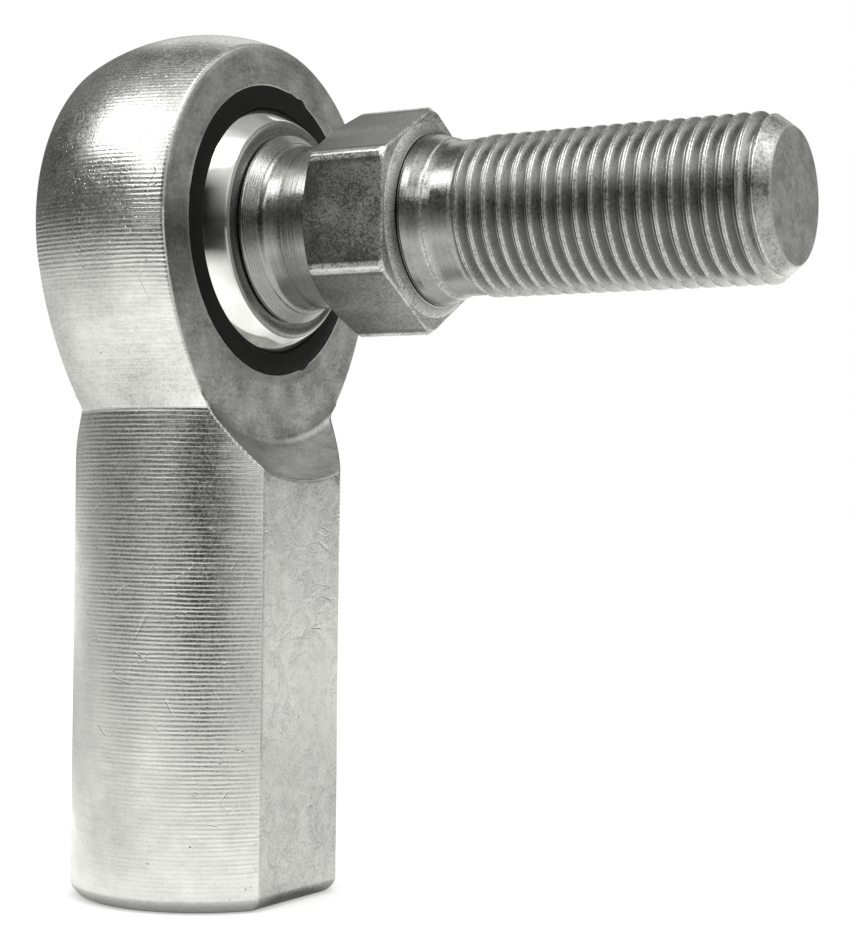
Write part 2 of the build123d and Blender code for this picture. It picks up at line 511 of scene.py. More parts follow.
collar = lathe_path(
    [(HEX_FRONT + 0.54, 7.00, 0), (HEX_FRONT + 0.545, 6.76, 0.01), (HEX_FRONT + 0.62, 6.73, 0.03), (HEX_FRONT + 0.68, 6.83, 0.03), (HEX_FRONT + 0.715, 6.82, 0.02), (HEX_FRONT + 0.73, 6.74, 0.01),
     (HEX_FRONT + 0.755, 6.75, 0.01), (HEX_FRONT + 0.78, 6.81, 0.03), (HEX_FRONT + 1.35, 6.70, 0.4), (HEX_FRONT + 2.2, 6.43, 0.3), (HEX_FRONT + 2.40, 6.39, 0.06), (HEX_FRONT + 2.48, 6.28, 0.06),
     (HEX_FRONT + 3.1, 6.14, 0.6), (26.1, PLAIN, 0)], 4)
spin(stud, collar, 0)
ROOT = 5.62
CONE_X, CONE_R = 50.15, 6.35


def stud_radius(s, v):
    th = thread_profile(v, MAJOR, ROOT, 0.29, seam=0.045, soft=0.02)
    fade = smooth_step(s, 26.15, 27.3)
    r = PLAIN + (th - PLAIN) * fade
    cone = CONE_R - (s - CONE_X) * (CONE_R - 5.2) / (TIP - 0.15 - CONE_X)
    return np.minimum(r, cone)


half_us = np.array([0.0, 0.035, 0.075, 0.11, 0.145, 0.19, 0.38, 0.54, 0.595])
us_out = np.concatenate([-half_us[:0:-1], half_us, [P / 2]])
face_angle = math.radians(230)                 # where the crests are seen from
PHASE = 27.0 - P * face_angle / (2 * math.pi)
ang = np.concatenate([TH, [TH[0] + 2 * math.pi]])
s, r = helix(ang, 26.1, TIP - 0.15, us_out, stud_radius, PHASE)
stud.grid(np.stack([s, r * np.cos(ang), r * np.sin(ang)], -1), 2)
tip = lathe_path([(TIP - 0.15, 5.2, 0), (TIP - 0.02, 5.09, 0.06), (TIP, 5.02, 0.05), (TIP, 4.6, 0), (TIP, 2.0, 0), (TIP, 0, 0)], 3)
spin(stud, tip, 3)
stud_me = stud.mesh("stud_shell")

# ------------------------------------------------------------------------ ball
T2 = np.linspace(0, 2 * math.pi, 192, endpoint=False)
flat_r = math.sqrt(BALL_R**2 - HW**2)
ball = Builder()
rim_r = flat_r + 0.13
rim = math.sqrt(BALL_R**2 - rim_r**2)
a_rim = math.atan2(rim_r, rim)
arc = [[[BALL_R * math.cos(a), BALL_R * math.sin(a)]] for a in np.linspace(a_rim, math.pi - a_rim, 81)]
spin(ball, np.array(arc), 0, T2)
right = lathe_path([(rim, rim_r, 0), (HW - 0.01, flat_r - 0.10, 0.10), (HW, flat_r - 0.3, 0.1), (HW, 7.0, 0), (HW, 4.9, 0.05), (HW - 0.1, 4.78, 0.05), (-HW + 1.22, 4.78, 0)], 3)
left = lathe_path([(-HW + 1.22, 4.78, 0), (-HW, 6.0, 0.03), (-HW, 7.2, 0), (-HW, flat_r - 0.3, 0.1), (-HW + 0.01, flat_r - 0.10, 0.10), (-rim, rim_r, 0)], 3)
spin(ball, right, 1, T2)
spin(ball, left, 1, T2)
ball_me = ball.mesh("ball_shell")

# ------------------------------------------------------------------------ race
INNER = BALL_R + 0.03
T3 = np.linspace(0, 2 * math.pi, 240, endpoint=False)
race = Builder()
lip = math.sqrt(INNER**2 - (H - 0.12) ** 2)
a_lip = math.atan2(lip, H - 0.12)
inner = np.array([[[INNER * math.cos(a), INNER * math.sin(a)]] for a in np.linspace(math.pi - a_lip, a_lip, 41)])
spin(race, inner, 0, T3)


def flash(theta, side):
    """A trace of moulding flash round the outer edge, thicker at a few spots."""
    out = 0.015 * np.sin(theta * 9 + side) + 0.012 * np.sin(theta * 23 + 2 * side) + 0.008 * np.sin(theta * 61)
    for at, width, height in ((math.radians(71), 0.030, 0.30), (math.radians(78), 0.05, 0.10), (math.radians(-67), 0.035, 0.24), (math.radians(172), 0.05, 0.12), (math.radians(-140), 0.03, 0.09)):
        d = (theta - at + math.pi) % (2 * math.pi) - math.pi
        out = out + height * np.exp(-((d / width) ** 2) / 2) * (1 if side > 0 else 0.6)
    return out


for side in (1, -1):
    k = len(T3)
    face = np.stack([
        np.broadcast_to([side * (H - 0.12), lip], (k, 2)),
        np.stack([np.full(k, side * (H + 0.004)), np.full(k, lip + 0.13)], -1),
        np.stack([np.full(k, side * (H + 0.006)), np.full(k, 11.1)], -1),
        np.stack([np.full(k, side * (H + 0.010)), 11.97 + flash(T3, side)], -1),
        np.stack([np.full(k, side * (H + 0.002)), 11.985 + flash(T3, side)], -1),
        np.stack([np.full(k, side * (H + 0.002)), np.full(k, 11.965)], -1),
        np.broadcast_to([side * 3.21, 11.965], (k, 2)),
        np.broadcast_to([side * 2.19, 12.965], (k, 2)),
        np.broadcast_to([0, 12.965], (k, 2)),
    ])
    face = rounded(face, [0, 0.06, 0, 0, 0, 0, 0, 0, 0], 2)
    spin(race, face, 0, T3)
race_me = race.mesh("race_shell")

# ------------------------------------------------------------------- materials
class Nodes:
    """Short names for building a node tree. Coordinates are object millimetres."""

    def __init__(self, name):
        self.mat = bpy.data.materials.new(name)
        self.mat.use_nodes = True
        self.nt = self.mat.node_tree
        self.bsdf = self.nt.nodes["Principled BSDF"]
        tc = self.nt.nodes.new("ShaderNodeTexCoord")
        mm = self.nt.nodes.new("ShaderNodeVectorMath")
        mm.operation = "MULTIPLY_ADD"
        self.nt.links.new(tc.outputs["Object"], mm.inputs[0])
        mm.inputs[1].default_value = (1000, 1000, 1000)
        mm.inputs[2].default_value = (0, 0, -C)
        self.p = mm.outputs[0]
        sep = self.nt.nodes.new("ShaderNodeSeparateXYZ")
        self.nt.links.new(self.p, sep.inputs[0])
        self.x, self.y, self.z = sep.outputs

    def put(self, socket, value):
        if isinstance(value, bpy.types.NodeSocket):
            self.nt.links.new(value, socket)
        elif value is not None:
            socket.default_value = value

    def math(self, op, a, b=None, c=None, clamp=False):
        n = self.nt.nodes.new("ShaderNodeMath")
        n.operation = op
        n.use_clamp = clamp
        for i, v in enumerate((a, b, c)):
            self.put(n.inputs[i], v)
        return n.outputs[0]

    def vec(self, x, y, z):
        n = self.nt.nodes.new("ShaderNodeCombineXYZ")
        for i, v in enumerate((x, y, z)):
            self.put(n.inputs[i], v)
        return n.outputs[0]

    def scaled(self, sx, sy, sz, source=None):
        n = self.nt.nodes.new("ShaderNodeVectorMath")
        n.operation = "MULTIPLY"
        self.nt.links.new(source or self.p, n.inputs[0])
        n.inputs[1].default_value = (sx, sy, sz)
        return n.outputs[0]

    def noise(self, vector, scale=1.0, detail=2.0, rough=0.5, distortion=0.0):
        n = self.nt.nodes.new("ShaderNodeTexNoise")
        n.noise_dimensions = "3D"
        self.put(n.inputs["Vector"], vector)
        n.inputs["Scale"].default_value = scale
        n.inputs["Detail"].default_value = detail
        n.inputs["Roughness"].default_value = rough
        n.inputs["Distortion"].default_value = distortion
        return n.outputs[0]

    def cells(self, vector, scale=1.0, feature="F1", randomness=1.0):
        n = self.nt.nodes.new("ShaderNodeTexVoronoi")
        n.feature = feature
        self.put(n.inputs["Vector"], vector)
        n.inputs["Scale"].default_value = scale
        n.inputs["Randomness"].default_value = randomness
        return n.outputs["Distance"]

    def remap(self, value, a, b, c=0.0, d=1.0, smooth=True):
        n = self.nt.nodes.new("ShaderNodeMapRange")
        n.interpolation_type = "SMOOTHSTEP" if smooth else "LINEAR"
        self.put(n.inputs["Value"], value)
        for i, v in zip(("From Min", "From Max", "To Min", "To Max"), (a, b, c, d)):
            self.put(n.inputs[i], v)
        return n.outputs["Result"]

    def ramp(self, value, stops):
        n = self.nt.nodes.new("ShaderNodeValToRGB")
        self.put(n.inputs[0], value)
        el = n.color_ramp.elements
        while len(el) < len(stops):
            el.new(0.5)
        for e, (pos, col) in zip(el, stops):
            e.position = pos
            e.color = (*col, 1)
        return n.outputs[0]

    def mix(self, fac, a, b):
        n = self.nt.nodes.new("ShaderNodeMix")
        n.data_type = "RGBA"
        self.put(n.inputs[0], fac)
        for sock, v in ((n.inputs[6], a), (n.inputs[7], b)):
            self.put(sock, (*v, 1) if isinstance(v, tuple) else v)
        return n.outputs[2]

    def bump(self, height, micrometres, normal=None):
        """height in 0..1 becomes a relief of this many micrometres."""
        n = self.nt.nodes.new("ShaderNodeBump")
        n.inputs["Strength"].default_value = 1.0
        n.inputs["Distance"].default_value = micrometres * 1e-6
        self.put(n.inputs["Height"], height)
        self.put(n.inputs["Normal"], normal)
        return n.outputs["Normal"]

    def attribute(self, name):
        n = self.nt.nodes.new("ShaderNodeAttribute")
        n.attribute_name = name
        return n.outputs["Fac"]

    def finish(self, color=None, rough=None, normal=None, metal=1.0, **more):
        self.put(self.bsdf.inputs["Base Color"], color)
        self.put(self.bsdf.inputs["Roughness"], rough)
        self.put(self.bsdf.inputs["Normal"], normal)
        self.bsdf.inputs["Metallic"].default_value = metal
        for k, v in more.items():
            self.bsdf.inputs[k].default_value = v
        return self.mat


def grey(v, tint=0.985):
    """A slightly warm, slightly green plated grey."""
    return (v, v * 1.0, v * (0.96 if tint is None else tint * 0.975))


def weighted_sum(n, *terms):
    """terms: (socket, weight)."""
    total = None
    for sock, w in terms:
        part = n.math("MULTIPLY", sock, w)
        total = part if total is None else n.math("ADD", total, part)
    return total


def plated_turned():
    """Zinc plate over a turned surface: the tool marks run round the shank axis."""
    n = Nodes("zinc_turned")
    # Length along the turned outline: arc on the ball-shaped head, height on the shank.
    on_head = n.math("MULTIPLY", n.math("ARCSINE", n.math("MAXIMUM", n.math("MINIMUM", n.math("DIVIDE", n.z, R), 0.999), -0.85)), R)
    is_head = n.remap(n.z, ZN - 0.02, ZN + 0.02)
    s = n.math("ADD", n.math("MULTIPLY", on_head, is_head), n.math("MULTIPLY", n.z, n.math("SUBTRACT", 1.0, is_head)))
    angle = n.math("ARCTAN2", n.y, n.x)
    # Tool marks: a regular feed with wandering depth, and irregular lines over it.
    wander = n.noise(n.vec(n.math("MULTIPLY", n.x, 0.16), n.math("MULTIPLY", n.y, 0.16), n.math("MULTIPLY", s, 0.9)), 1.0, 3.0, 0.6)
    phase = n.math("ADD", n.math("MULTIPLY", s, 2 * math.pi / 0.355), n.math("MULTIPLY", wander, 5.0))
    feed = n.math("SINE", phase)
    feed = n.math("MULTIPLY_ADD", feed, 0.5, 0.5)
    lines = n.noise(n.vec(n.math("MULTIPLY", n.x, 0.22), n.math("MULTIPLY", n.y, 0.22), n.math("MULTIPLY", s, 3.1)), 1.0, 4.0, 0.62)
    tears = n.noise(n.vec(n.math("MULTIPLY", n.x, 1.3), n.math("MULTIPLY", n.y, 1.3), n.math("MULTIPLY", s, 4.5)), 1.0, 3.0, 0.6, 0.4)
    patch = n.noise(n.scaled(0.16, 0.16, 0.10), 1.0, 2.0, 0.5)
    depth = n.remap(patch, 0.36, 0.60, 0.62, 1.0)
    # The crown of the head was finished finer than its belly and the shank.
    crown = n.remap(n.z, 0.6, 3.4, 1.15, 0.42)
    low_band = n.remap(n.z, -6.0, -3.4, 0.20, 1.0)
    shank = n.math("SUBTRACT", 1.0, is_head)
    low_band = n.math("MAXIMUM", low_band, shank)
    fade_foot = n.remap(n.z, ZB + 8.0, ZB + 40.0, 0.22, 1.0)
    # The tool rubbed on one side of the shank, so the marks are faint there.
    rubbed = n.math("MAXIMUM", n.remap(n.x, -7.5, 5.0, 0.18, 1.35), is_head)
    depth = n.math("MULTIPLY", n.math("MULTIPLY", depth, crown), n.math("MULTIPLY", n.math("MULTIPLY", low_band, rubbed), fade_foot))
    marks = weighted_sum(n, (feed, 0.55), (lines, 0.80), (tears, 0.25))
    marks = n.math("MULTIPLY", marks, depth)
    grain = n.noise(n.scaled(1, 1, 1), 4.4, 2.0, 0.6)
    fine = n.noise(n.scaled(1, 1, 1), 10.0, 2.0, 0.6)
    pits = n.cells(n.scaled(1, 1, 1.4), 1.05)
    pit = n.remap(pits, 0.05, 0.16, 1.0, 0.0)
    few = n.remap(n.noise(n.scaled(0.35, 0.35, 0.35), 1.0, 2.0), 0.54, 0.62)
    pit = n.math("MULTIPLY", pit, few)
    bump = n.bump(marks, TURN_UM)
    sparkle = n.remap(n.z, -6.0, -3.0, 0.50, 1.15)
    sparkle = n.math("ADD", n.math("MULTIPLY", sparkle, is_head), n.math("MULTIPLY", shank, 0.24))
    bump = n.bump(n.math("MULTIPLY", weighted_sum(n, (grain, 0.7), (fine, 0.5)), sparkle), GRAIN_UM, bump)
    bump = n.bump(n.math("SUBTRACT", 1.0, pit), 10.0, bump)
    speck = n.remap(n.cells(n.p, 2.6), 0.08, 0.26, 1.0, 0.0)
    speck = n.math("MULTIPLY", speck, n.remap(n.noise(n.scaled(0.30, 0.30, 0.30), 1.0, 3.0, 0.6), 0.42, 0.54))
    speck = n.math("MULTIPLY", speck, n.math("MULTIPLY", is_head, n.remap(n.z, -5.5, -2.5)))
    bump = n.bump(speck, 17.0, bump)
    nick = n.cells(n.scaled(1.0, 0.9, 0.7), 0.40, "DISTANCE_TO_EDGE")
    nick = n.remap(nick, 0.0, 0.020, 1.0, 0.0)
    nick = n.math("MULTIPLY", nick, n.remap(n.noise(n.scaled(0.45, 0.45, 0.45), 1.0, 2.0), 0.56, 0.62))
    bump = n.bump(n.math("SUBTRACT", 1.0, nick), 9.0, bump)
    cloud = n.noise(n.scaled(0.4, 0.4, 0.3), 1.0, 5.0, 0.65)
    tone = weighted_sum(n, (cloud, 0.30), (lines, 0.20), (grain, 0.35), (tears, 0.15))
    color = n.ramp(tone, [(0.40, grey(0.60)), (0.47, grey(0.72)), (0.53, grey(0.81)), (0.60, grey(0.89))])
    # Painted light: the shank is set a little brighter than the head, though both have the same plating, to match the
    # tone seen.
    color = n.mix(n.math("MULTIPLY", shank, 0.35), color, grey(0.95))
    color = n.mix(n.math("MULTIPLY", pit, 0.6), color, grey(0.16))
    smear = n.noise(n.scaled(0.55, 0.55, 0.8), 1.0, 3.0, 0.55)
    rough = n.remap(weighted_sum(n, (smear, 0.4), (grain, 0.6)), 0.38, 0.62, 0.22, 0.34)
    return n.finish(color, rough, bump)


def plated_faced():
    """The spot face round the eye: faint rings, smeared plating."""
    n = Nodes("zinc_spot_face")
    rho = n.math("SQRT", n.math("ADD", n.math("MULTIPLY", n.y, n.y), n.math("MULTIPLY", n.z, n.z)))
    ring = n.noise(n.vec(n.math("MULTIPLY", n.y, 0.10), n.math("MULTIPLY", n.z, 0.10), n.math("MULTIPLY", rho, 3.4)), 1.0, 4.0, 0.6)
    grain = n.noise(n.p, 4.6, 4.0, 0.65)
    fine = n.noise(n.p, 10.0, 2.0, 0.6)
    cloud = n.noise(n.scaled(0.3, 0.3, 0.3), 1.0, 4.0, 0.62)
    drag = n.noise(n.scaled(0.3, 0.55, 2.2), 1.0, 3.0, 0.6, 0.6)
    spots = n.remap(n.cells(n.p, 0.75), 0.04, 0.14, 1.0, 0.0)
    few = n.remap(n.noise(n.scaled(0.4, 0.4, 0.4), 1.0, 2.0), 0.55, 0.62)
    spots = n.math("MULTIPLY", spots, few)
    bump = n.bump(ring, 5.0)
    bump = n.bump(weighted_sum(n, (grain, 0.6), (fine, 0.5), (drag, 0.4)), GRAIN_UM * 1.2, bump)
    tone = weighted_sum(n, (cloud, 0.35), (grain, 0.35), (drag, 0.2), (ring, 0.10))
    color = n.ramp(tone, [(0.41, grey(0.36)), (0.48, grey(0.48)), (0.53, grey(0.56)), (0.60, grey(0.66))])
    color = n.mix(n.math("MULTIPLY", spots, 0.55), color, grey(0.14))
    rough = n.remap(weighted_sum(n, (cloud, 0.5), (grain, 0.5)), 0.36, 0.64, 0.28, 0.38)
    return n.finish(color, rough, bump)


def plated_flat():
    """Milled wrench flats: smooth, with light scratches."""
    n = Nodes("zinc_wrench_flat")
    grain = n.noise(n.p, 4.2, 4.0, 0.65)
    cloud = n.noise(n.scaled(0.2, 0.2, 0.16), 1.0, 5.0, 0.62)
    swirl = n.noise(n.scaled(0.6, 0.6, 0.6), 1.0, 3.0, 0.5, 1.4)
    warp = n.scaled(1.0, 0.30, 1.6)
    scratch = n.cells(warp, 0.42, "DISTANCE_TO_EDGE")
    scratch = n.remap(scratch, 0.0, 0.018, 1.0, 0.0)
    where = n.remap(n.noise(n.scaled(0.22, 0.22, 0.22), 1.0, 2.0), 0.55, 0.63)
    scratch = n.math("MULTIPLY", scratch, where)
    spots = n.remap(n.cells(n.p, 0.5), 0.03, 0.09, 1.0, 0.0)
    few = n.remap(n.noise(n.scaled(0.3, 0.3, 0.3), 1.0, 2.0), 0.57, 0.62)
    spots = n.math("MULTIPLY", spots, few)
    bump = n.bump(weighted_sum(n, (grain, 0.7), (swirl, 1.1)), GRAIN_UM * 1.8)
    bump = n.bump(n.math("SUBTRACT", 1.0, scratch), 9.0, bump)
    tone = weighted_sum(n, (cloud, 0.30), (grain, 0.48), (swirl, 0.22))
    color = n.ramp(tone, [(0.41, grey(0.41)), (0.48, grey(0.56)), (0.54, grey(0.64)), (0.61, grey(0.75))])
    color = n.mix(n.math("MULTIPLY", spots, 0.7), color, grey(0.15))
    rough = n.remap(weighted_sum(n, (cloud, 0.6), (grain, 0.4)), 0.36, 0.64, 0.26, 0.40)
    return n.finish(color, rough, bump)


def plated_hole():
    """Tapped hole and the bore that holds the race."""
    n = Nodes("zinc_bore")
    grain = n.noise(n.p, 3.0, 4.0, 0.65)
    color = n.ramp(grain, [(0.35, grey(0.34)), (0.65, grey(0.50))])
    rough = n.remap(grain, 0.35, 0.65, 0.34, 0.46)
    return n.finish(color, rough, n.bump(grain, 6.0))


def plated_end():
    """Faced end of the shank and its chamfer."""
    n = Nodes("zinc_shank_end")
    rho = n.math("SQRT", n.math("ADD", n.math("MULTIPLY", n.x, n.x), n.math("MULTIPLY", n.y, n.y)))
    ring = n.noise(n.vec(n.math("MULTIPLY", n.x, 0.10), n.math("MULTIPLY", n.y, 0.10), n.math("MULTIPLY", rho, 3.4)), 1.0, 4.0, 0.6)
    grain = n.noise(n.p, 4.0, 4.0, 0.65)
    tone = weighted_sum(n, (ring, 0.5), (grain, 0.5))
    color = n.ramp(tone, [(0.36, grey(0.42)), (0.64, grey(0.60))])
    rough = n.remap(grain, 0.35, 0.65, 0.30, 0.42)
    return n.finish(color, rough, n.bump(tone, 8.0))


def plated_stud(name, dark, mid, light, rough_lo, rough_hi, grain_um, rings_um=0.0, pitch=1.0):
    """Zinc plate on the stud. Edges are lighter, partly from wear and partly as a painted highlight; grooves, thread
    roots and the shoulder gap are darkened as painted shade.
    """
    n = Nodes(name)
    grain = n.noise(n.p, 4.2 * pitch, 3.0, 0.6)
    fine = n.noise(n.p, 9.5 * pitch, 2.0, 0.6)
    cloud = n.noise(n.scaled(0.5, 0.5, 0.5), 1.0, 4.0, 0.6)
    bump = None
    tone_terms = [(cloud, 0.20), (grain, 0.50), (fine, 0.30)]
    if rings_um:
        ring = n.noise(n.vec(n.math("MULTIPLY", n.x, 4.2), n.math("MULTIPLY", n.y, 0.12), n.math("MULTIPLY", n.z, 0.12)), 1.0, 4.0, 0.6)
        bump = n.bump(ring, rings_um)
        tone_terms = [(cloud, 0.30), (grain, 0.35), (fine, 0.15), (ring, 0.20)]
    bump = n.bump(weighted_sum(n, (grain, 0.7), (fine, 0.5)), grain_um, bump)
    tone = weighted_sum(n, *tone_terms)
    color = n.ramp(tone, [(0.38, grey(dark)), (0.50, grey(mid)), (0.62, grey(light))])
    rough = n.remap(weighted_sum(n, (cloud, 0.5), (grain, 0.5)), 0.40, 0.60, rough_lo, rough_hi)
    # Worn edges with a painted highlight: lightens the colour towards grey 0.90 on hexagon edges, crest lips, the tip
    # cone, the collar step and the hexagon's front ring.
    wear_and_highlight = n.attribute("wear_and_highlight")
    broken = n.remap(weighted_sum(n, (grain, 0.45), (fine, 0.25), (cloud, 0.3)), 0.42, 0.56, 0.25, 1.0)
    wear_and_highlight = n.math("MULTIPLY", wear_and_highlight, broken, clamp=True)
    color = n.mix(wear_and_highlight, color, grey(0.90))
    # Painted shade: darkens the collar grooves, the thread roots and the gap at the ball's shoulder towards grey
    # 0.05.
    painted_recess_shade = n.attribute("painted_recess_shade")
    painted_recess_shade = n.math("MULTIPLY", painted_recess_shade, n.remap(grain, 0.40, 0.60, 0.55, 1.0), clamp=True)
    color = n.mix(painted_recess_shade, color, grey(0.05))
    return n.finish(color, rough, bump)


def polished_ball():
    n = Nodes("ball_polished")
    smear = n.noise(n.scaled(0.5, 0.5, 0.5), 1.0, 4.0, 0.6)
    lines = n.noise(n.vec(n.math("MULTIPLY", n.x, 6.0), n.math("MULTIPLY", n.y, 0.15), n.math("MULTIPLY", n.z, 0.15)), 1.0, 3.0, 0.6)
    fine = n.noise(n.p, 5.0, 3.0, 0.6)
    scratch = n.remap(n.cells(n.scaled(0.8, 0.5, 0.9), 0.8, "DISTANCE_TO_EDGE"), 0.0, 0.012, 1.0, 0.0)
    scratch = n.math("MULTIPLY", scratch, n.remap(n.noise(n.scaled(0.4, 0.4, 0.4), 1.0, 2.0), 0.56, 0.64))
    bump = n.bump(weighted_sum(n, (lines, 0.5), (fine, 0.4)), 0.35)
    bump = n.bump(n.math("SUBTRACT", 1.0, scratch), 0.8, bump)
    color = n.ramp(smear, [(0.3, grey(0.80)), (0.7, grey(0.90))])
    rough = n.remap(smear, 0.35, 0.65, 0.06, 0.12)
    return n.finish(color, rough, bump)


def ground_ball_end():
    n = Nodes("ball_end_face")
    rho = n.math("SQRT", n.math("ADD", n.math("MULTIPLY", n.y, n.y), n.math("MULTIPLY", n.z, n.z)))
    ring = n.noise(n.vec(n.math("MULTIPLY", n.y, 0.10), n.math("MULTIPLY", n.z, 0.10), n.math("MULTIPLY", rho, 5.0)), 1.0, 3.0, 0.6)
    grain = n.noise(n.p, 4.0, 3.0, 0.6)
    tone = weighted_sum(n, (ring, 0.6), (grain, 0.4))
    # Painted reflection: the colour is kept dark, standing in for the dark stud neck that this face reflects.
    color = n.ramp(tone, [(0.35, grey(0.24)), (0.65, grey(0.36))])
    rough = n.remap(tone, 0.38, 0.62, 0.24, 0.34)
    return n.finish(color, rough, n.bump(tone, 3.0))


def moulded_black():
    n = Nodes("race_polymer")
    grain = n.noise(n.p, 3.2, 4.0, 0.6)
    cloud = n.noise(n.scaled(0.5, 0.5, 0.5), 1.0, 3.0, 0.6)
    color = n.ramp(weighted_sum(n, (grain, 0.5), (cloud, 0.5)), [(0.35, (0.004, 0.004, 0.004)), (0.65, (0.010, 0.010, 0.0095))])
    rough = n.remap(grain, 0.35, 0.65, 0.60, 0.75)
    return n.finish(color, rough, n.bump(grain, 12.0), 0.0, **{"Specular IOR Level": 0.16})


TURN_UM, GRAIN_UM = 22.0, 8.0
zinc = plated_turned()
zinc_face = plated_faced()
zinc_flat = plated_flat()
zinc_hole = plated_hole()
zinc_end = plated_end()
stud_turned = plated_stud("stud_turned", 0.272, 0.330, 0.396, 0.18, 0.29, 9.0, rings_um=17.0)
stud_hex = plated_stud("stud_hexagon", 0.120, 0.184, 0.272, 0.36, 0.48, 5.0, pitch=1.45)
stud_thread = plated_stud("stud_thread", 0.273, 0.364, 0.456, 0.27, 0.40, 9.5)
stud_tip = plated_stud("stud_tip", 0.378, 0.441, 0.514, 0.42, 0.55, 10.0)
chrome = polished_ball()
ball_flat = ground_ball_end()
black = moulded_black()

# Worn edges with painted highlights, and painted shade in the recesses, on the stud, kept as two point attributes.
co = np.empty(len(stud_me.vertices) * 3)
stud_me.vertices.foreach_get("co", co)
co = co.reshape(-1, 3) / MM - np.array([0, 0, C])
sx_, rr = co[:, 0], np.hypot(co[:, 1], co[:, 2])
th_ = np.arctan2(co[:, 2], co[:, 1])
dl = np.abs((th_ + math.radians(30)) % math.radians(60) - math.radians(30))
wear_and_highlight = np.zeros(len(co))
on_hex = (sx_ > HEX_BACK + 0.02) & (sx_ < HEX_FRONT - 0.02)
# Hexagon corners and rims: edge wear, made lighter as a painted highlight.
corner = 1 - smooth_step(math.radians(30) - dl, math.radians(2.0), math.radians(3.4))
wear_and_highlight = np.where(on_hex, corner * 1.25, wear_and_highlight)
rim_front = np.exp(-(((sx_ - (HEX_FRONT - 0.10)) / 0.11) ** 2)) * smooth_step(rr, AF2 - 0.30, AF2 - 0.12)
wear_and_highlight = np.maximum(wear_and_highlight, rim_front * 0.75)
rim_back = (1 - smooth_step(sx_, HEX_BACK + 0.05, HEX_BACK + 0.25)) * (sx_ > HEX_BACK - 0.001) * smooth_step(rr, AF2 - 0.45, AF2 - 0.15)
wear_and_highlight = np.maximum(wear_and_highlight, rim_back * 0.3)
# Front face of the hexagon round the collar: painted highlight.
face_glow = (sx_ > HEX_FRONT - 0.02) * (sx_ < HEX_FRONT + 0.545) * smooth_step(rr, 6.98, 7.1)
wear_and_highlight = np.maximum(wear_and_highlight, face_glow * 0.62)
# Twin lips on the thread crests: crest wear and a painted highlight.
crest_u = np.abs((sx_ - PHASE - P * (th_ % (2 * math.pi)) / (2 * math.pi) + P / 2) % P - P / 2)
lips = np.exp(-(((crest_u - 0.12) / 0.045) ** 2)) * 0.95 + np.exp(-((crest_u / 0.06) ** 2)) * 0.30
crest_wear_and_highlight = lips * smooth_step(rr, 6.18, 6.28) * (sx_ > 26.3) * (sx_ < CONE_X + 0.6)
wear_and_highlight = np.maximum(wear_and_highlight, crest_wear_and_highlight)
# Tip cone edge and the collar step: wear and a painted highlight.
cone_wear_and_highlight = (sx_ > CONE_X + 0.3) * (sx_ < TIP - 0.02) * smooth_step(rr, 5.0, 5.2)
wear_and_highlight = np.maximum(wear_and_highlight, cone_wear_and_highlight * 0.55)
step_wear_and_highlight = np.exp(-(((sx_ - (HEX_FRONT + 2.42)) / 0.10) ** 2)) * 0.6
wear_and_highlight = np.maximum(wear_and_highlight, step_wear_and_highlight)
# Painted shade in the collar grooves, the thread roots and the gap between the ball and the stud's shoulder.
painted_recess_shade = np.zeros(len(co))
groove = (sx_ > HEX_FRONT + 0.538) & (sx_ < HEX_FRONT + 0.665) & (rr > 6.6) & (rr < 6.985)
second = (np.abs(sx_ - (HEX_FRONT + 0.742)) < 0.030) & (rr < 6.79) & (rr > 6.6)
painted_recess_shade = np.where(groove, 1.6, np.where(second, 1.3, painted_recess_shade))
root = (1 - smooth_step(rr, 5.62, 5.80)) * (sx_ > 26.6) * (sx_ < CONE_X)
painted_recess_shade = np.maximum(painted_recess_shade, root * 0.35)
gap = (sx_ < BACK + 0.12) & (sx_ > HW - 0.01) & (rr < 7.9)
painted_recess_shade = np.where(gap, 0.9, painted_recess_shade)
for name, values in (("wear_and_highlight", wear_and_highlight), ("painted_recess_shade", painted_recess_shade)):
    layer = stud_me.attributes.new(name, "FLOAT", "POINT")
    layer.data.foreach_set("value", values.astype(np.float32))

body_ob = piece("rod_end_body_detail", body_me, "body", "rod_end_body", [zinc, zinc_face, zinc_flat, zinc_hole, zinc_end])
bev = body_ob.modifiers.new("edge_break", "BEVEL")
bev.limit_method = "WEIGHT"
bev.width = 0.45 * MM
bev.segments = 3
bev.use_clamp_overlap = False
weighted(body_ob)
stud_ob = piece("stud_detail", stud_me, "stud", "stud", [stud_turned, stud_hex, stud_thread, stud_tip])
weighted(stud_ob)
ball_ob = piece("ball_detail", ball_me, "ball", "ball", [chrome, ball_flat])
weighted(ball_ob)
race_ob = piece("race_detail", race_me, "race", "race", [black])
weighted(race_ob)
for ob in (body_ob, stud_ob, ball_ob, race_ob):
    apply_modifiers(ob)
    print(ob.name, len(ob.data.vertices), "verts", sum(len(p.vertices) - 2 for p in ob.data.polygons), "triangles")

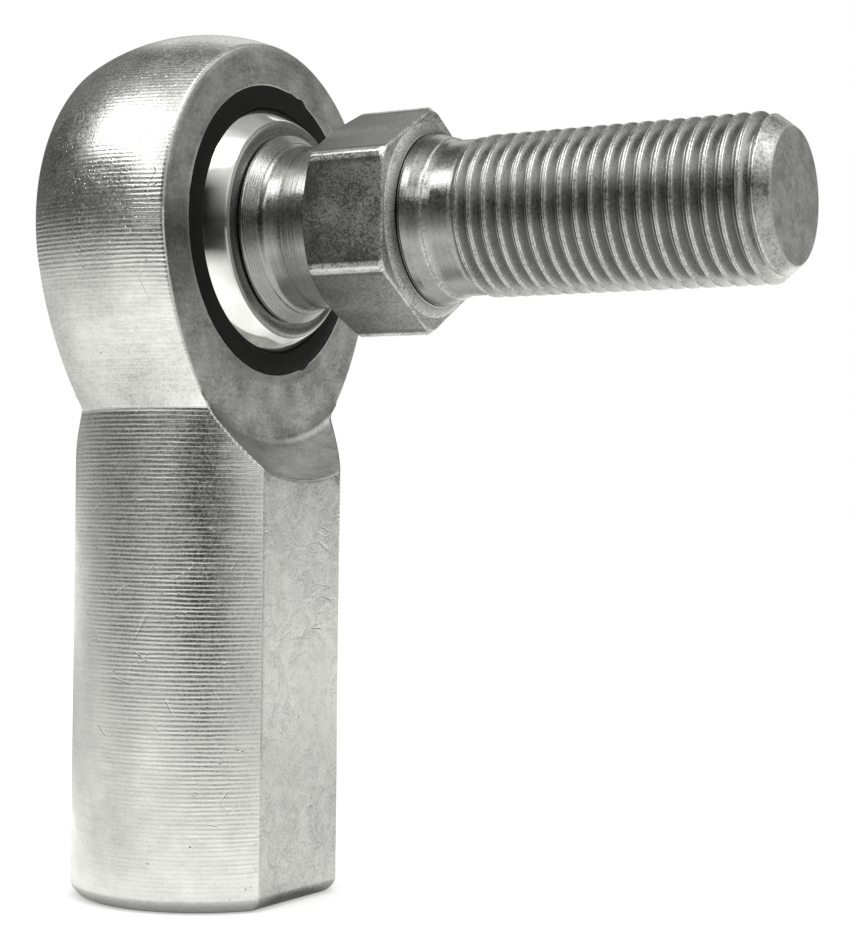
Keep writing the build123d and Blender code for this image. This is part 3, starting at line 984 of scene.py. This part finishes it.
# --------------------------------------------------------------- camera, stage
# The studio's tone by azimuth, every 15 degrees from -180: what the metal reflects.
ROOM = {
    6: [0.18, 0.14, 0.10, 0.06, 0.11, 0.16, 0.13, 0.05, 0.01, 0.07, 0.10, 0.20, 0.37, 0.38, 0.22, 0.05, 0.08, 0.21, 0.33, 0.37, 0.33, 0.28, 0.26, 0.26],
    30: [0.03, 0.05, 0.07, 0.10, 0.07, 0.07, 0.05, 0.04, 0.02, 0.37, 0.73, 1.10, 1.41, 1.71, 2.02, 1.35, 0.67, 0.16, 0.16, 0.16, 0.16, 0.16, 0.16, 0.16],
    60: [0.34, 0.44, 0.54, 0.65, 0.88, 0.95, 1.02, 1.09, 1.17, 1.24, 1.05, 0.94, 0.82, 0.71, 0.60, 0.49, 0.51, 0.45, 0.39, 0.33, 0.26, 0.20, 0.14, 0.24],
}
# The table top's tone, by azimuth again, at four distances from the shank in metres.
TABLE_NEAR = 1.10
TABLE = {
    0.045: [1.07, 0.91, 0.76, 0.70, 0.65, 0.79, 0.94, 1.08, 1.23, 1.33, 1.21, 1.20, 1.18, 1.17, 1.35, 1.06, 0.77, 0.80, 0.83, 0.96, 1.28, 1.60, 1.50, 1.23],
    0.09: [0.71, 0.80, 1.06, 1.07, 1.20, 1.40, 1.36, 1.30, 1.14, 1.02, 0.70, 0.62, 0.65, 0.57, 0.59, 0.66, 0.73, 0.66, 0.64, 0.62, 0.61, 0.64, 0.69, 0.70],
    0.18: [0.67, 0.76, 0.85, 0.62, 0.52, 0.64, 0.62, 0.28, 0.02, 0.10, 0.65, 0.80, 0.85, 0.95, 1.22, 1.67, 2.13, 1.75, 1.38, 1.01, 0.64, 0.41, 0.50, 0.59],
    0.40: [0.72, 0.55, 0.38, 0.30, 0.30, 0.38, 0.36, 0.14, 0.02, 0.05, 0.45, 0.55, 0.60, 0.70, 0.85, 1.14, 1.44, 1.34, 1.26, 1.17, 1.08, 1.10, 1.06, 0.89],
}
K = 6.35
F_PX, AZ, EL, ROLL, DIST, YAW, PITCH = 2119.209, 54.51, -7.33, 1.38, 28.623, 5.91, 6.31
az, el, roll, yaw, pit = (math.radians(x) for x in (AZ, EL, ROLL, YAW, PITCH))
c = np.array([math.cos(az) * math.cos(el), -math.sin(az) * math.cos(el), math.sin(el)])
right = np.array([math.sin(az), math.cos(az), 0.0])
up = np.cross(c, right)
loc = c * DIST * K
c2 = c * math.cos(yaw) - right * math.sin(yaw)
r2 = right * math.cos(yaw) + c * math.sin(yaw)
c3 = c2 * math.cos(pit) + up * math.sin(pit)
u3 = up * math.cos(pit) - c2 * math.sin(pit)
r4 = math.cos(roll) * r2 + math.sin(roll) * u3
u4 = -math.sin(roll) * r2 + math.cos(roll) * u3
cam_data = bpy.data.cameras.new("camera")
cam = bpy.data.objects.new("camera", cam_data)
bpy.context.scene.collection.objects.link(cam)
cam_data.sensor_width = 36
cam_data.sensor_fit = "AUTO"
cam_data.lens = F_PX * 36 / 950
cam_data.clip_start, cam_data.clip_end = 0.01, 50
m = Matrix.Identity(4)
for i in range(3):
    m[i][0], m[i][1], m[i][2] = r4[i], u4[i], c3[i]
    m[i][3] = (loc[i] + (C if i == 2 else 0)) * MM
cam.matrix_world = m
bpy.context.scene.camera = cam



class Tones:
    """Small helpers for the tables above, in any node tree."""

    def __init__(self, tree, direction):
        self.nt = tree
        sep = tree.nodes.new("ShaderNodeSeparateXYZ")
        tree.links.new(direction, sep.inputs[0])
        self.x, self.y, self.z = sep.outputs
        turn = self.math("ARCTAN2", self.y, self.x)
        self.turn = self.math("MULTIPLY_ADD", turn, 1 / (2 * math.pi), 0.5, clamp=True)

    def math(self, op, a, b=None, c=None, clamp=False):
        n = self.nt.nodes.new("ShaderNodeMath")
        n.operation = op
        n.use_clamp = clamp
        for i, v in enumerate((a, b, c)):
            if isinstance(v, bpy.types.NodeSocket):
                self.nt.links.new(v, n.inputs[i])
            elif v is not None:
                n.inputs[i].default_value = v
        return n.outputs[0]

    def by_azimuth(self, tones):
        """Linear between the table's entries, and closed over the back."""
        top = max(tones) or 1.0
        n = self.nt.nodes.new("ShaderNodeValToRGB")
        self.nt.links.new(self.turn, n.inputs[0])
        el = n.color_ramp.elements
        stops = list(tones) + [tones[0]]
        while len(el) < len(stops):
            el.new(0.5)
        for i, (e, v) in enumerate(zip(el, stops)):
            e.position = i / (len(stops) - 1)
            e.color = (v / top, v / top, v / top, 1)
        return self.math("MULTIPLY", n.outputs[0], top)

    def rise(self, value, lo, hi):
        return self.math("MULTIPLY_ADD", value, 1 / (hi - lo), -lo / (hi - lo), clamp=True)

    def total(self, parts):
        out = None
        for tone, share in parts:
            part = self.math("MULTIPLY", tone, share)
            out = part if out is None else self.math("ADD", out, part)
        return out


world = bpy.data.worlds.new("studio")
bpy.context.scene.world = world
world.use_nodes = True
wn = world.node_tree
bg = wn.nodes["Background"]
tc = wn.nodes.new("ShaderNodeTexCoord")
room = Tones(wn, tc.outputs["Generated"])
height = room.math("MULTIPLY", room.math("ARCSINE", room.z), 180 / math.pi)
up6 = room.rise(height, 6, 30)
low = room.math("SUBTRACT", 1.0, up6)
middle = room.math("MINIMUM", up6, room.rise(height, 55, 30))
high = room.rise(height, 30, 60)
tone = room.total([(room.by_azimuth(ROOM[6]), low), (room.by_azimuth(ROOM[30]), middle), (room.by_azimuth(ROOM[60]), high)])
bg.inputs["Color"].default_value = (1.0, 1.0, 0.985, 1)
wn.links.new(tone, bg.inputs["Strength"])
# Behind the object the camera sees a plain white sheet.
white = wn.nodes.new("ShaderNodeBackground")
white.inputs["Color"].default_value = (1.0, 1.0, 1.0, 1)
white.inputs["Strength"].default_value = 1.0
path_ = wn.nodes.new("ShaderNodeLightPath")
mixer = wn.nodes.new("ShaderNodeMixShader")
wn.links.new(path_.outputs["Is Camera Ray"], mixer.inputs[0])
wn.links.new(bg.outputs[0], mixer.inputs[1])
wn.links.new(white.outputs[0], mixer.inputs[2])
wn.links.new(mixer.outputs[0], wn.nodes["World Output"].inputs["Surface"])
bpy.context.scene.view_settings.view_transform = "Standard"


def sheet_of(name, z, material):
    me = bpy.data.meshes.new(name)
    me.from_pydata([(-12, -12, z), (12, -12, z), (12, 12, z), (-12, 12, z)], [], [(0, 1, 2, 3)])
    ob = bpy.data.objects.new(name, me)
    bpy.context.scene.collection.objects.link(ob)
    me.materials.append(material)
    return ob


# A pale, evenly glowing floor with a painted soft contact shadow: its glow is dimmed by ambient occlusion.
fl = bpy.data.materials.new("floor_pale")
fl.use_nodes = True
fb = fl.node_tree.nodes["Principled BSDF"]
fb.inputs["Base Color"].default_value = (0.30, 0.30, 0.30, 1)
fb.inputs["Roughness"].default_value = 0.9
fb.inputs["Specular IOR Level"].default_value = 0.05
fb.inputs["Emission Color"].default_value = (1, 1, 0.995, 1)
ao = fl.node_tree.nodes.new("ShaderNodeAmbientOcclusion")
ao.inputs["Distance"].default_value = 0.010
ao.samples = 8
shade = fl.node_tree.nodes.new("ShaderNodeMath")
shade.operation = "MULTIPLY_ADD"
fl.node_tree.links.new(ao.outputs["AO"], shade.inputs[0])
shade.inputs[1].default_value, shade.inputs[2].default_value = 0.62, 0.40
fl.node_tree.links.new(shade.outputs[0], fb.inputs["Emission Strength"])
floor = sheet_of("floor", -0.00002, fl)
floor.visible_glossy = False
floor.visible_diffuse = False

# The same table top as the metal reflects it: bright close by, with a painted contact shadow at the foot and darker
# cards further out.
rt = bpy.data.materials.new("table_tone")
rt.use_nodes = True
rt.node_tree.nodes.clear()
emit = rt.node_tree.nodes.new("ShaderNodeEmission")
emit.inputs["Color"].default_value = (1.0, 1.0, 0.985, 1)
rt_out = rt.node_tree.nodes.new("ShaderNodeOutputMaterial")
rt.node_tree.links.new(emit.outputs[0], rt_out.inputs["Surface"])
where_ = rt.node_tree.nodes.new("ShaderNodeNewGeometry")
table = Tones(rt.node_tree, where_.outputs["Position"])
away = table.math("SQRT", table.math("ADD", table.math("MULTIPLY", table.x, table.x), table.math("MULTIPLY", table.y, table.y)))
away = table.math("LOGARITHM", away, 2.0)
rings_ = [math.log2(r_) for r_ in (0.022, 0.045, 0.09, 0.18, 0.40)]
# Painted contact shadow: the sheet's glow drops to 0.14 of TABLE_NEAR within 9.8 mm of the axis, rising back by 15
# mm.
parts = [(TABLE_NEAR, table.math("SUBTRACT", table.math("MULTIPLY_ADD", table.rise(away, math.log2(0.0098), math.log2(0.0150)), 0.86, 0.14), table.rise(away, rings_[0], rings_[1])))]
for i, r_ in enumerate((0.045, 0.09, 0.18, 0.40)):
    share = table.rise(away, rings_[i], rings_[i + 1])
    if i < 3:
        share = table.math("MINIMUM", share, table.rise(away, rings_[i + 2], rings_[i + 1]))
    parts.append((table.by_azimuth(TABLE[r_]), share))
rt.node_tree.links.new(table.total(parts), emit.inputs["Strength"])
tone_sheet = sheet_of("table_tone", -0.0001, rt)
tone_sheet.visible_camera = False


def area(name, at, to, size, power, size_y=None):
    d = bpy.data.lights.new(name, "AREA")
    d.energy = power
    d.shape = "RECTANGLE"
    d.size, d.size_y = size, size_y or size
    o = bpy.data.objects.new(name, d)
    bpy.context.scene.collection.objects.link(o)
    o.location = at
    o.rotation_mode = "QUATERNION"
    o.rotation_quaternion = (Vector(to) - Vector(at)).to_track_quat("-Z", "Y")
    return o


def toward(az_deg, el_deg, dist):
    a_, e_ = math.radians(az_deg), math.radians(el_deg)
    return Vector((math.cos(a_) * math.cos(e_), math.sin(a_) * math.cos(e_), math.sin(e_))) * dist + Vector((0, 0, C * MM))


mid = Vector((0, 0, C * MM))
area("key_softbox", toward(-120, 48, 0.60), mid, 0.34, 0.98, 0.22)
area("key_low", toward(-90, 30, 0.60), mid, 0.16, 0.16, 0.14)
area("top_softbox", toward(-35, 62, 0.60), mid, 0.24, 0.80, 0.16)
area("top_wide", toward(-35, 62, 0.62), mid, 0.44, 0.21, 0.30)
area("back_card", toward(112, 38, 0.70), mid, 0.50, 0.34, 0.30)
